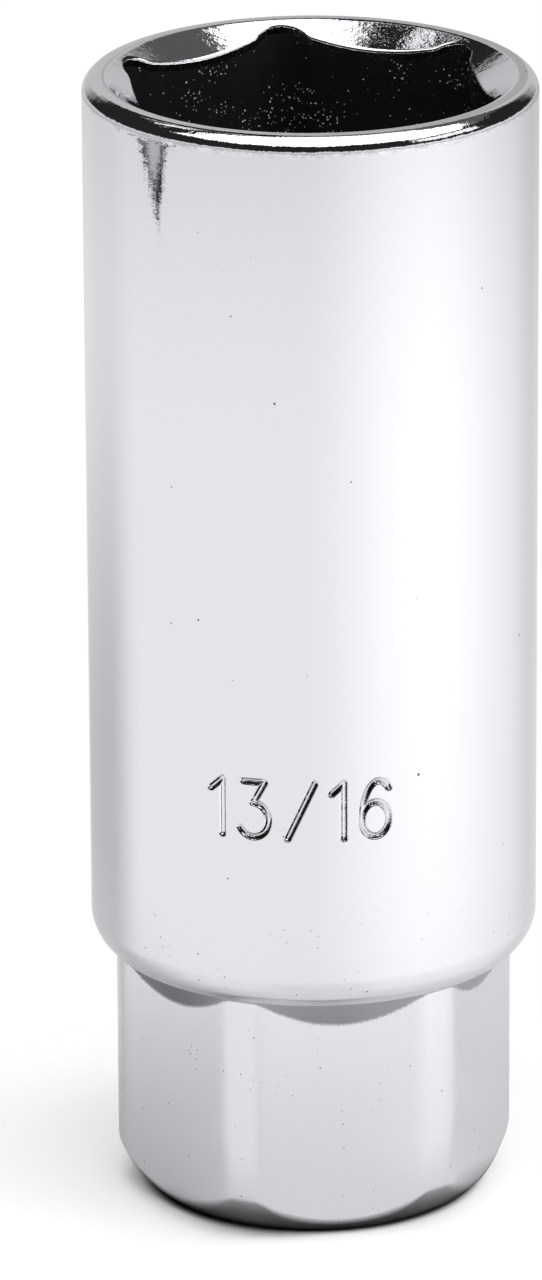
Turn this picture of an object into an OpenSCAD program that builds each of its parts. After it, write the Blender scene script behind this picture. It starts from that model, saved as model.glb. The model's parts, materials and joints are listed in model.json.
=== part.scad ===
// Spark plug socket: a turned steel body with a hexagon mouth, a wrench hexagon and a square drive
// hole, and a rubber insert that grips the plug. It stands on its drive end, in millimetres.

/* [Barrel] */
// Length from the drive end to the open end
overall_length = 71; // [67:0.5:90]
// Diameter of the barrel
barrel_d = 27.5; // [26.5:0.1:32]
// Height of the barrel's lower edge above the drive end
shoulder_z = 15.5; // [13:0.5:20]
// Radius that rounds the barrel's lower edge
shoulder_r = 2.4; // [1:0.1:4]

/* [Open end] */
// Width across the flats of the plug's hexagon
plug_af = 20.64; // [18:0.02:21]
// Play of the plug in the hexagon, across the flats
plug_clearance = 0.1; // [0.04:0.02:0.3]
// Radius of the round relief in each corner of the hexagon
corner_relief_r = 1.8; // [1:0.1:2.2]
// How far a relief reaches past the hexagon's own corner
corner_relief_past = 0.03; // [0.02:0.01:0.2]
// Depth of the hexagon below the rim
hex_depth = 22; // [16:0.5:26]
// Width of the bevel outside the rim
rim_bevel_w = 0.55; // [0.2:0.05:0.8]
// Height of the bevel outside the rim
rim_bevel_h = 0.55; // [0.2:0.05:1.5]
// Width of the flat ring of the rim
rim_flat_w = 0.8; // [0.4:0.05:1]
// Slope of the lead-in into the hexagon, in degrees below level
lead_angle = 32; // [20:1:50]

/* [Drive end] */
// Width across the flats of the wrench hexagon
wrench_af = 22.2; // [20:0.1:23.5]
// How much is turned off each corner of the wrench hexagon
wrench_corner_cut = 0.55; // [0.3:0.05:1]
// How far below the shoulder the flats start to run out
runout_drop = 1.5; // [0.5:0.1:4]
// Slope of the run-out, in degrees above level
runout_angle = 55; // [35:1:70]
// Diameter of the flat ring that the socket stands on
foot_d = 20.1; // [17:0.1:21.6]
// Height of the foot's crowned edge at the corners
foot_crown_h = 2.75; // [1.5:0.05:4]
// Radius of the foot's crowned edge
foot_crown_r = 5.7; // [4:0.1:12]

/* [Square drive] */
// Width of the square tang that drives the socket
tang_w = 9.525; // [9.4:0.025:9.7]
// Play of the tang in the square hole
tang_clearance = 0.075; // [0.025:0.025:0.25]
// Depth of the square hole
square_depth = 12; // [10:0.5:14]
// How far the entry chamfer and the bore behind clear the square's corners
square_relief = 0.3; // [0.1:0.1:0.8]
// Height of the four detent dimples above the drive end
detent_z = 5.5; // [4.5:0.1:7]
// Radius of the ball that forms a dimple
detent_ball_r = 1.6; // [1.2:0.1:2]
// Depth of a dimple in the wall of the square
detent_depth = 1; // [0.4:0.1:1.2]

/* [Rubber insert] */
// How far the wall of the insert's bore lies inside the flats of the hexagon
insert_step = 0.4; // [0.1:0.05:1.5]
// Length of the insert
insert_length = 22; // [18:0.5:25]
// Room between the end of the hexagon and the top of the insert
insert_drop = 8; // [4:0.5:12]
// Radial gap between the insert and its bore
insert_gap = 0.05; // [0.02:0.01:0.2]
// Diameter of the hole that grips the plug's insulator
grip_d = 10.2; // [8:0.1:12]
// Length of that hole
grip_length = 9; // [4:0.5:10]
// Wall of the insert at the top of its funnel
funnel_wall = 1.4; // [1.1:0.1:3]
// Depth of the funnel
funnel_depth = 5; // [2:0.5:7]
// Diameter of the room for the plug's terminal below the grip
terminal_d = 13; // [12.2:0.1:15]
// Height of the bead around the insert above its seat
bead_z = 8; // [3:0.5:14]
// Width of the bead
bead_w = 3; // [1.5:0.1:3.5]
// How far the bead stands out into its groove
bead_proud = 0.6; // [0.3:0.05:0.9]
// Bevel on the insert's outer edges
insert_bevel = 0.6; // [0.2:0.1:1]

/* [Hidden] */
$fn = 96;

// How far a cut runs past the face that it opens
overcut = 1;

barrel_r = barrel_d/2;

hex_apothem = (plug_af + plug_clearance)/2;
hex_bottom_z = overall_length - hex_depth;
hex_corner_reach = hex_apothem/cos(30);
corner_relief_centre = hex_corner_reach + corner_relief_past - corner_relief_r;
lead_r = barrel_r - rim_bevel_w - rim_flat_w;
lead_small_r = hex_apothem - overcut;

wrench_apothem = wrench_af/2;
neck_r = wrench_apothem/cos(30) - wrench_corner_cut;
runout_z = shoulder_z - runout_drop;
runout_top_z = shoulder_z + shoulder_r;
runout_top_r = wrench_apothem + (runout_top_z - runout_z)/tan(runout_angle);

// The crowned edge is an arc from the standing ring to the turned corners
foot_r = foot_d/2;
crown_chord = [neck_r - foot_r, foot_crown_h];
crown_half = norm(crown_chord)/2;
crown_reach = sqrt(foot_crown_r^2 - crown_half^2)/norm(crown_chord);
crown_centre = [foot_r, 0] + crown_chord/2 + crown_reach*[-crown_chord.y, crown_chord.x];

square_w = tang_w + tang_clearance;
square_entry_r = square_w/sqrt(2) + square_relief;
square_entry_depth = square_entry_r - square_w/2;
detent_offset = square_w/2 + detent_depth - detent_ball_r;

insert_top_z = hex_bottom_z - insert_drop;
insert_seat_z = insert_top_z - insert_length;
insert_bore_r = hex_apothem - insert_step;
insert_r = insert_bore_r - insert_gap;
grip_r = grip_d/2;
terminal_depth = insert_length - funnel_depth - grip_length;

// Hexagon with a round relief in each corner, with two flats across X
module hex_outline() {
    union() {
        for (turn = [30:60:330])
            rotate(turn)
                translate([corner_relief_centre, 0])
                    circle(corner_relief_r);
        polygon([
            for (turn = [30:60:330])
                hex_corner_reach*[cos(turn), sin(turn)]
        ]);
    }
}

// Half section of the barrel, round at its lower edge and bevelled at the rim
module barrel_section() {
    translate([0, shoulder_z])
        square([barrel_r - shoulder_r, overall_length - shoulder_z]);
    translate([0, shoulder_z + shoulder_r])
        polygon([
            [0, 0],
            [barrel_r, 0],
            [barrel_r, overall_length - shoulder_z - shoulder_r - rim_bevel_h],
            [barrel_r - rim_bevel_w, overall_length - shoulder_z - shoulder_r],
            [0, overall_length - shoulder_z - shoulder_r]
        ]);
    translate([barrel_r - shoulder_r, shoulder_z + shoulder_r])
        circle(shoulder_r);
}

// Half section of the drive end before its flats are milled
module neck_section() {
    intersection() {
        square([neck_r, runout_top_z]);
        union() {
            translate(crown_centre)
                circle(foot_crown_r);
            square([crown_centre.x, runout_top_z]);
            translate([0, crown_centre.y])
                square([neck_r + overcut, runout_top_z]);
        }
    }
}

// Wrench hexagon with two flats across Y, turned at its corners and run out under the shoulder
module drive_end() {
    intersection() {
        rotate_extrude()
            neck_section();
        union() {
            cylinder(h = runout_top_z, r = wrench_apothem/cos(30), $fn = 6);
            translate([0, 0, runout_z])
                cylinder(h = runout_top_z - runout_z, r1 = wrench_apothem, r2 = runout_top_r);
        }
    }
}

// Everything cut from the open end down to the insert's seat
module plug_cavity() {
    translate([0, 0, hex_bottom_z])
        linear_extrude(hex_depth + overcut)
            hex_outline();
    translate([0, 0, overall_length - (lead_r - lead_small_r)*tan(lead_angle)])
        cylinder(
            h = (lead_r - lead_small_r)*tan(lead_angle) + overcut,
            r1 = lead_small_r,
            r2 = lead_r + overcut/tan(lead_angle)
        );
    translate([0, 0, insert_seat_z])
        cylinder(h = hex_bottom_z - insert_seat_z + overcut, r = insert_bore_r);
    translate([0, 0, insert_seat_z + bead_z - insert_gap])
        cylinder(h = bead_w + 2*insert_gap, r = insert_bore_r + bead_proud);
}

// Square hole with its entry chamfer, its dimples and the bore behind it
module square_cavity() {
    translate([-square_w/2, -square_w/2, -overcut])
        cube([square_w, square_w, square_depth + 2*overcut]);
    translate([0, 0, -overcut])
        cylinder(
            h = square_entry_depth + overcut,
            r1 = square_entry_r + overcut,
            r2 = square_entry_r - square_entry_depth
        );
    translate([0, 0, square_depth])
        cylinder(h = insert_seat_z - square_depth + overcut, r = square_entry_r);
    for (turn = [0:90:270])
        rotate(turn)
            translate([detent_offset, 0, detent_z])
                sphere(detent_ball_r);
}

module socket_body() {
    color([0.84, 0.84, 0.87])
        difference() {
            union() {
                rotate_extrude()
                    barrel_section();
                drive_end();
            }
            plug_cavity();
            square_cavity();
        }
}

// Half section of the insert with its bead and its bevelled outer edges
module insert_section() {
    polygon([
        [0, 0],
        [insert_r - insert_bevel, 0],
        [insert_r, insert_bevel],
        [insert_r, bead_z],
        [insert_r + bead_proud, bead_z],
        [insert_r + bead_proud, bead_z + bead_w],
        [insert_r, bead_z + bead_w],
        [insert_r, insert_length - insert_bevel],
        [insert_r - insert_bevel, insert_length],
        [0, insert_length]
    ]);
}

module rubber_insert() {
    color([0.07, 0.07, 0.075])
        translate([0, 0, insert_seat_z])
            difference() {
                rotate_extrude()
                    insert_section();
                translate([0, 0, -overcut])
                    cylinder(h = insert_length + 2*overcut, r = grip_r);
                translate([0, 0, -overcut])
                    cylinder(h = terminal_depth + overcut, r = terminal_d/2);
                translate([0, 0, insert_length - funnel_depth])
                    cylinder(h = funnel_depth, r1 = grip_r, r2 = insert_r - funnel_wall);
            }
}

socket_body();
rubber_insert();
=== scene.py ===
"""Spark plug socket, dressed for rendering.

The file is laid out as an add-on and is run as a script. Sizes are in metres, in the frame of the part:
+Z up, the drive end on the floor, and two flats of the wrench hexagon facing -Y and +Y.
"""

import json
import math

import bpy
import numpy as np
from bpy.props import FloatProperty, FloatVectorProperty, IntProperty, PointerProperty
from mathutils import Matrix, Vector


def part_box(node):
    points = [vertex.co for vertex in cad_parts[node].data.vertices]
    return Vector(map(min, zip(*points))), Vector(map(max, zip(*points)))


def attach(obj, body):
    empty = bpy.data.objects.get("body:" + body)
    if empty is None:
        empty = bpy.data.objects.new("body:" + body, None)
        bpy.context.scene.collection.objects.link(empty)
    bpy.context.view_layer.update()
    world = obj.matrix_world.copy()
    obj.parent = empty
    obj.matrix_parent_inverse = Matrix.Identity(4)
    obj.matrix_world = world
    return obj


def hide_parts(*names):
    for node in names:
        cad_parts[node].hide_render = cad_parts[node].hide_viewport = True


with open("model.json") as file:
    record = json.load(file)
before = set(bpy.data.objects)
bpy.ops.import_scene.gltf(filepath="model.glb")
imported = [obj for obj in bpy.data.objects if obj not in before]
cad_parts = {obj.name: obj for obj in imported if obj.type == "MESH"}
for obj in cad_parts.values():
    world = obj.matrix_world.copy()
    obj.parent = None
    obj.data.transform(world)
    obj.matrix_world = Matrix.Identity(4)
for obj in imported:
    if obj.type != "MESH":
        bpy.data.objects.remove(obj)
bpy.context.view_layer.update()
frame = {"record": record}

bl_info = {
    "name": "Spark Plug Socket",
    "version": (1, 0, 0),
    "blender": (4, 5, 0),
    "location": "View3D > Sidebar > Socket",
    "description": "Builds a plated spark plug socket with its rubber insert and a plain studio",
    "category": "Add Mesh",
}

MM = 0.001
FULL_TURN = 2 * math.pi
FRONT = -math.pi / 2
PLATED, BLACKENED, LEAD_IN, DULL_AND_SHADE = range(4)

_, BODY_HIGH = (Vector(end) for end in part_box("socket_body"))
INSERT_LOW, INSERT_HIGH = (Vector(end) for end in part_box("rubber_insert"))
MOUNTS = {mount["name"]: mount for mount in frame["record"]["mounts"]}


def length(label, text, default):
    """A length property whose default is in metres."""
    return FloatProperty(name=label, description=text, default=default, min=0, precision=5, unit="LENGTH")


def angle(label, text, degrees):
    """An angle property whose default is in degrees."""
    return FloatProperty(name=label, description=text, default=math.radians(degrees), subtype="ANGLE")


def share(label, text, default, top=1.0):
    """A plain factor."""
    return FloatProperty(name=label, description=text, default=default, min=0, max=top, precision=4)


def colour(label, text, default):
    """A linear colour property."""
    limits = {"min": 0, "max": 1, "size": 3}
    return FloatVectorProperty(name=label, description=text, default=default, subtype="COLOR", **limits)


def count(label, text, default, least):
    """A number of faces, rows or cuts."""
    return IntProperty(name=label, description=text, default=default, min=least)


def signed_length(label, text, default):
    """A length that may be negative."""
    return FloatProperty(name=label, description=text, default=default, precision=5, unit="LENGTH")


def mount_size(mount, size="r_mm"):
    """A size of one of the part's mounts, in metres."""
    return MOUNTS[mount]["dims"][size] * MM


class SocketBodySizes(bpy.types.PropertyGroup):
    """Sizes of the steel body."""

    barrel_radius: length("Barrel radius", "Outer radius of the barrel", BODY_HIGH.x)
    overall_length: length("Overall length", "From the drive end to the rim", BODY_HIGH.z)
    shoulder_height: length("Shoulder height", "Height of the barrel's lower edge", 15.5 * MM)
    shoulder_radius: length("Shoulder radius", "Round of the barrel's lower edge", 2.4 * MM)
    mouth_apothem: length("Mouth apothem", "Half the mouth across flats", mount_size("plug_hexagon"))
    mouth_depth: length("Mouth depth", "Depth of the hexagon", mount_size("plug_hexagon", "length_mm"))
    relief_radius: length("Corner relief", "Radius of the round relief in each mouth corner", 1.8 * MM)
    relief_reach: length("Relief reach", "From the axis to the deepest point of a relief", 12.004 * MM)
    relief_blend: length("Relief blend", "How softly a relief runs into the flats", 0.12 * MM)
    bevel_width: length("Rim bevel width", "Width of the bevel outside the rim", 0.55 * MM)
    bevel_height: length("Rim bevel height", "Height of the bevel outside the rim", 0.55 * MM)
    rim_width: length("Rim width", "Width of the flat ring of the rim", 0.8 * MM)
    lead_plated: length("Plated depth", "How far the plating reaches into the hexagon", 0.55 * MM)
    lead_angle: angle("Lead-in slope", "Slope of the lead-in below level", 32)
    wrench_apothem: length("Wrench apothem", "Half the hexagon across flats", mount_size("wrench_hexagon"))
    corner_cut: length("Corner cut", "How much is turned off each wrench corner", 0.55 * MM)
    corner_blend: length("Corner blend", "How softly flats and turned corners meet", 0.3 * MM)
    runout_drop: length("Run-out drop", "How far below the shoulder the flats run out", 1.5 * MM)
    runout_angle: angle("Run-out slope", "Slope of the run-out above level", 55)
    lip_angle: angle("Lip angle", "Where the shoulder's round runs straight into its lip", 42)
    lip_length: length("Lip length", "Straight stretch down to the lip", 0.45 * MM)
    foot_radius: length("Foot radius", "Radius of the ring that the socket stands on", 10.05 * MM)
    crown_height: length("Crown height", "Height of the foot's crowned edge at the corners", 2.75 * MM)
    crown_radius: length("Crown radius", "Radius of the foot's crowned edge", 5.7 * MM)
    square_apothem: length("Square apothem", "Half the drive square", mount_size("square_drive"))
    square_depth: length("Square depth", "Depth of the drive square", mount_size("square_drive", "length_mm"))
    square_corner: length("Square corner", "Radius in the corners of the drive square", 0.4 * MM)
    square_relief: length("Square relief", "How far the entry clears the square's corners", 0.3 * MM)
    detent_height: length("Detent height", "Height of the four detent dimples", 5.5 * MM)
    detent_ball: length("Detent ball", "Radius of the ball that forms a dimple", 1.6 * MM)
    detent_depth: length("Detent depth", "Depth of a dimple", 1.0 * MM)
    bore_step: length("Bore step", "How far the insert's bore lies inside the flats", 0.4 * MM)
    groove_play: length("Groove play", "Play of the insert's bead in its groove", 0.05 * MM)
    # The run-outs' mark is dull plating and painted shade: under the shoulder, faintly on the lip, and most
    # on the -X side, turned from the light
    dull_and_shade_steps: count("Dull steps", "Rows of faces over which a flat's polish ends", 7, 1)
    lip_dull_and_shade: share("Lip dullness", "How dull the shoulder's lip is beside a run-out", 0.22)
    lip_steps: count("Lip steps", "Rows of faces over which the lip's dullness ends", 14, 1)
    left_painted_shade: share("Left dullness", "How much duller the run-outs are on the -X side", 0.4)
    columns: count("Columns", "Faces around the body", 360, 96)


class SizeNumberSizes(bpy.types.PropertyGroup):
    """Sizes of the size number pressed into the barrel."""

    baseline: length("Baseline", "Height of the number's foot above the drive end", 27.13 * MM)
    cap_height: length("Cap height", "Height of the number, between stroke middles", 3.54 * MM)
    stroke_width: length("Stroke width", "Width of a groove", 0.42 * MM)
    stroke_depth: length("Stroke depth", "Depth of a groove", 0.2 * MM)
    margin: length("Margin", "Fine mesh around the number", 0.5 * MM)
    panel_rings: count("Rings", "Rings of faces across the number", 22, 8)
    panel_cuts: count("Cuts", "Cuts of each face around the number", 4, 1)


class InsertSizes(bpy.types.PropertyGroup):
    """Sizes of the rubber insert."""

    grip_radius: length("Grip radius", "Hole that grips the plug", mount_size("plug_grip"))
    grip_length: length("Grip length", "Length of that hole", mount_size("plug_grip", "length_mm"))
    funnel_depth: length("Funnel depth", "Depth of the funnel", 5 * MM)
    funnel_wall: length("Funnel wall", "Wall at the top of the funnel", 1.4 * MM)
    terminal_radius: length("Terminal radius", "Room for the plug's terminal", 6.5 * MM)
    bead_height: length("Bead height", "Height of the bead above the seat", 8 * MM)
    bead_width: length("Bead width", "Width of the bead", 3 * MM)
    bead_proud: length("Bead proud", "How far the bead stands out", 0.6 * MM)
    edge_bevel: length("Edge bevel", "Bevel on the outer edges", 0.6 * MM)
    rib_depth: length("Rib depth", "Depth of the moulded rings in the funnel", 0.18 * MM)
    columns: count("Columns", "Faces around the insert", 160, 48)


class FinishSettings(bpy.types.PropertyGroup):
    """Colours and gloss of the finishes."""

    plating: colour("Plating", "Polished chrome plating", (0.80, 0.80, 0.825))
    plating_pit: colour("Plating pit", "Bottom of a pit in the plating", (0.16, 0.16, 0.17))
    plating_gloss: share("Plating roughness", "Roughness of the polish", 0.012)
    rim_wave: share("Rim unevenness", "How uneven the plating is along the rim", 2.5, 10)
    # Dull plating with painted shade on the run-outs; the darkest colour is painted shade on the -X side,
    # turned from the light
    dull_and_shade: colour("Dull plating", "Run-outs that the polish doesn't reach", (0.41, 0.415, 0.445))
    dull_shade_side: colour("Darkest dull plating", "The same run-outs on the -X side", (0.23, 0.235, 0.255))
    # Painted shade: the near-black colour laid on the lower and right-hand walls of the number's grooves, the
    # side turned from the light
    groove_shade: colour("Grime", "Dirt on the lower sides of the pressed number", (0.012, 0.012, 0.012))
    bore: colour("Bore", "Blackened steel inside the mouth", (0.011, 0.011, 0.011))
    # Real grain in the black oxide; its near-white colour is a painted glint
    bore_speck_glint: colour("Bore speck", "Bright grain in the blackened steel", (0.95, 0.95, 0.97))
    rubber: colour("Rubber", "Moulded black rubber", (0.022, 0.022, 0.024))
    rubber_dust: colour("Rubber dust", "Talc left on the rubber", (0.11, 0.11, 0.115))


class StageSettings(bpy.types.PropertyGroup):
    """Camera, floor and light."""

    camera_azimuth: angle("Camera azimuth", "Camera's turn about the part from -Y", -8.9)
    camera_distance: length("Camera distance", "Distance from the aim to the camera", 574.2 * MM)
    camera_elevation: angle("Camera elevation", "Height of the camera above level", 19.7)
    camera_roll: angle("Camera roll", "Turn of the camera about its own axis", -0.31)
    aim_height: length("Aim height", "Height that the camera turns about", 32.9 * MM)
    aim_across: signed_length("Aim across", "Aim to the right of the axis", -2.55 * MM)
    aim_up: signed_length("Aim up", "Aim above that height", 1.97 * MM)
    camera_lens: FloatProperty(name="Lens", description="Focal length", default=263.1, unit="CAMERA")
    floor_radius: length("Floor radius", "Radius of the floor", 70 * MM)
    floor_fade: length("Floor fade", "Where the floor starts to blend into the sweep", 20 * MM)
    floor_clear: length("Floor clear", "Where the camera sees the floor as white as the sweep", 35 * MM)
    shade_azimuth: angle("Shade azimuth", "Direction in which the floor is in shade", -95)
    # The lit azimuths and gain paint light into the floor's colour as the metal sees it
    lit_azimuth: angle("Lit azimuth", "Direction in which the metal sees the floor lit", 65)
    lit_left_azimuth: angle("Left lit azimuth", "Second direction in which the metal sees the floor lit", -44)
    lit_gain: share("Lit gain", "How much brighter the metal sees the lit sides", 0.15)
    # Contact clear paints white over the real shadow beside the foot's lit side, and contact width is how
    # much of that shadow stays; floor near and spread paint shade under the part where the metal sees it;
    # floor lift is a painted glow that the camera sees
    contact_clear: share("Contact clear", "How white the camera sees the lit floor beside the part", 0.62)
    contact_width: length("Contact width", "Width of the dark line at the foot's lit side", 0.85 * MM)
    floor_white: share("Floor white", "Paleness of the floor", 0.95)
    floor_near: share("Floor near", "Paleness that the metal sees right under the part", 0.17)
    floor_far: share("Floor far", "Paleness that the metal sees farther out", 0.795)
    floor_lift: share("Floor lift", "Light that the camera sees added to the floor", 0.28)
    floor_spread: length("Floor spread", "How far out the floor stays darker in the metal", 14.3 * MM)
    key_azimuth: angle("Key azimuth", "Turn of the key lamp to the right of the camera", 75)
    key_elevation: angle("Key elevation", "Height of the key lamp above level", 55)
    key_distance: length("Key distance", "Distance of the key lamp", 500 * MM)
    key_width: length("Key width", "Width of the key lamp", 250 * MM)
    key_power: FloatProperty(name="Key power", description="Power of the key lamp", default=0.5, min=0)
    sweep_level: share("Sweep level", "Brightness of the sweep around the floor", 0.99, 4)
    sweep_bright: share("Sweep bright side", "Extra brightness of the sweep at the right front", 0.32, 4)
    sweep_dim: share("Sweep dim side", "How much darker the sweep is behind the part", 0.22, 4)
    top_level: share("Top level", "Brightness of the softbox overhead", 2.1, 6)
    panel_level: share("Panel level", "Brightness of the panel at the right", 1.2, 6)
    back_level: share("Back level", "Brightness behind the part", 0.6, 4)
    room_level: share("Room level", "Brightness of the gaps between the lights", 0.02, 4)
    corner_level: share("Corner level", "Brightness of the room's right back corner", 0.11, 4)
    rig_level: share("Rig level", "Brightness of the lamp rig at the left back", 1.3, 4)


def clear_selection():
    """Leaves edit mode and deselects everything."""
    if bpy.context.mode != "OBJECT":
        bpy.ops.object.mode_set(mode="OBJECT")
    bpy.ops.object.select_all(action="DESELECT")


def select_only(piece):
    """Makes piece the only selected and active object."""
    clear_selection()
    piece.select_set(True)
    bpy.context.view_layer.objects.active = piece


# Edges of the sections: the radius of the round, and its steps
SHARP = (0, 1)
ENTRY_EDGE = (0.12 * MM, 3)
FOOT_EDGE = (0.4 * MM, 4)
CROWN_EDGE = (1.1 * MM, 8)
RUNOUT_EDGE = (0.5 * MM, 6)
NECK_EDGE = (0.05 * MM, 2)
LIP_EDGE = (0.03 * MM, 2)
BEVEL_EDGE = (0.92 * MM, 12)
RIM_EDGE = (0.55 * MM, 10)
LEAD_EDGE = (0.5 * MM, 6)
MOUTH_EDGE = (0.45 * MM, 6)
MOUTH_END = (0.3 * MM, 3)
BORE_EDGE = (0.2 * MM, 3)
SEAT_EDGE = (0.15 * MM, 2)
SQUARE_END = (0.1 * MM, 2)
SQUARE_EDGE = (0.1 * MM, 3)
SLEEVE_EDGE = (0.3 * MM, 3)
SLEEVE_TOP = (0.3 * MM, 4)
BEAD_ROOT = (0.1 * MM, 2)
BEAD_EDGE = (0.3 * MM, 4)
FUNNEL_EDGE = (0.4 * MM, 5)
GRIP_EDGE = (0.5 * MM, 5)
GRIP_END = (0.4 * MM, 4)

# The most of a side that a round takes, usually and at the rim's bevel
ROUND_MOST = 0.36
BEVEL_MOST = 0.49


def soften(corners):
    """Rounds a closed row of corners.

    Gives the points, two of them holding each round, and the finish after each point.
    """
    hold = 1.25
    least = 0.01
    points = []
    finishes = []
    for index, (point, (radius, steps), finish, most) in enumerate(corners):
        if steps < 2:
            points.append(point)
            finishes.append(finish)
            continue
        finishes += [corners[index - 1][2]] * (steps + 1) + [finish] * 2
        back = corners[index - 1][0] - point
        ahead = corners[(index + 1) % len(corners)][0] - point
        turn = math.pi - back.angle(ahead)
        limit = most * min(back.length, ahead.length)
        reach = min(max(radius * math.tan(turn / 2), least * limit), limit)
        back.normalize()
        ahead.normalize()
        points.append(point + back * reach * hold)
        for step in range(steps + 1):
            part = step / steps
            points.append(point + back * reach * (1 - part) ** 2 + ahead * reach * part ** 2)
        points.append(point + ahead * reach * hold)
    return points, finishes


def corner(radius, height, edge=SHARP, finish=PLATED, most=ROUND_MOST):
    """One corner of a section: its edge, the finish after it and the most of a side that the edge takes."""
    return (Vector((radius, height)), edge, finish, most)


def polygon_reach(turn, sides, apothem, corner_radius, first_corner):
    """Distance from the axis to a polygon with round corners, in the direction turn."""
    sector = FULL_TURN / sides
    off = abs((turn - first_corner + sector / 2) % sector - sector / 2)
    centre = (apothem - corner_radius) / math.cos(sector / 2)
    half = sector / 2
    touch = math.atan2(corner_radius * math.sin(half), centre + corner_radius * math.cos(half))
    if off < touch:
        return centre * math.cos(off) + math.sqrt(corner_radius ** 2 - (centre * math.sin(off)) ** 2)
    return apothem / math.cos(sector / 2 - off)


def soft_least(one, other, blend):
    """The smaller of two lengths, eased where they cross."""
    near = max(blend - abs(one - other), 0) / blend
    return min(one, other) - near * near * blend / 4


def spin_section(name, section, columns):
    """Draws a closed section by extruding a point, spins it about Z and keeps each point's number."""
    clear_selection()
    bpy.ops.mesh.primitive_plane_add(size=MM)
    piece = bpy.context.object
    piece.name = name
    piece.data.name = name
    bpy.ops.object.mode_set(mode="EDIT")
    bpy.ops.mesh.select_mode(type="VERT")
    bpy.ops.mesh.select_all(action="SELECT")
    bpy.ops.mesh.merge(type="CENTER")
    bpy.ops.transform.translate(value=(section[0].x, 0, section[0].y))
    for here, there in zip(section, section[1:]):
        step = there - here
        bpy.ops.mesh.extrude_region_move(TRANSFORM_OT_translate={"value": (step.x, 0, step.y)})
    bpy.ops.object.mode_set(mode="OBJECT")
    mesh = piece.data
    station = mesh.attributes.new("station", "INT", "POINT")
    station.data.foreach_set("value", range(len(section)))
    for index, vertex in enumerate(mesh.vertices):
        vertex.select = index in (0, len(section) - 1)
    bpy.ops.object.mode_set(mode="EDIT")
    bpy.ops.mesh.edge_face_add()
    bpy.ops.mesh.select_all(action="SELECT")
    bpy.ops.mesh.spin(steps=columns, angle=FULL_TURN, center=(0, 0, 0), axis=(0, 0, 1), use_auto_merge=True)
    bpy.ops.mesh.select_all(action="SELECT")
    bpy.ops.mesh.remove_doubles(threshold=0.001 * MM)
    bpy.ops.mesh.normals_make_consistent(inside=False)
    bpy.ops.object.mode_set(mode="OBJECT")
    return piece


def vertex_stations(mesh):
    """The section point that each vertex was spun from."""
    stations = np.zeros(len(mesh.vertices), dtype=np.int32)
    mesh.attributes["station"].data.foreach_get("value", stations)
    return stations


def vertex_places(mesh):
    """The vertices' places as rows of x, y, z."""
    places = np.zeros(len(mesh.vertices) * 3, dtype=np.float32)
    mesh.vertices.foreach_get("co", places)
    return places.reshape(-1, 3).astype(np.float64)


def place_vertices(mesh, places):
    """Moves the vertices to places."""
    mesh.vertices.foreach_set("co", places.astype(np.float32).ravel())
    mesh.update()


def wrench_reach(turn, sizes):
    """Distance from the axis to the wrench hexagon with its turned corners."""
    sector = FULL_TURN / 6
    off = (turn - FRONT + sector / 2) % sector - sector / 2
    neck = sizes.wrench_apothem / math.cos(sector / 2) - sizes.corner_cut
    return soft_least(neck, sizes.wrench_apothem / math.cos(off), sizes.corner_blend)


def mouth_reach(turn, sizes):
    """Distance from the axis to the mouth's hexagon, with a round relief in each corner."""
    sector = FULL_TURN / 6
    off = abs((turn - FRONT + sector / 2) % sector - sector / 2)
    flat = sizes.mouth_apothem / math.cos(sector / 2 - off)
    centre = sizes.relief_reach - sizes.relief_radius
    spare = sizes.relief_radius ** 2 - (centre * math.sin(off)) ** 2
    relief = centre * math.cos(off) + math.sqrt(max(spare, 0))
    return -soft_least(-flat, -relief, sizes.relief_blend)


def crown_arc(sizes, neck):
    """Centre of the arc that crowns the foot's edge, from the standing ring to the turned corners."""
    start = Vector((sizes.foot_radius, 0))
    chord = Vector((neck, sizes.crown_height)) - start
    rise = math.sqrt(sizes.crown_radius ** 2 - (chord.length / 2) ** 2)
    return start + chord / 2 + rise * Vector((-chord.y, chord.x)).normalized()


def number_rings(number):
    """Lowest and highest ring of the fine band around the size number."""
    return number.baseline - number.margin, number.baseline + number.cap_height + number.margin


SHOULDER_STEPS = 20
DETENT_ROWS = 16
CROWN_PARTS = (0.25, 0.5)
NECK_SPARE = 0.03 * MM
LIP_SPARE = 0.04 * MM
RUNOUT_LEAST = 0.3 * MM


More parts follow.
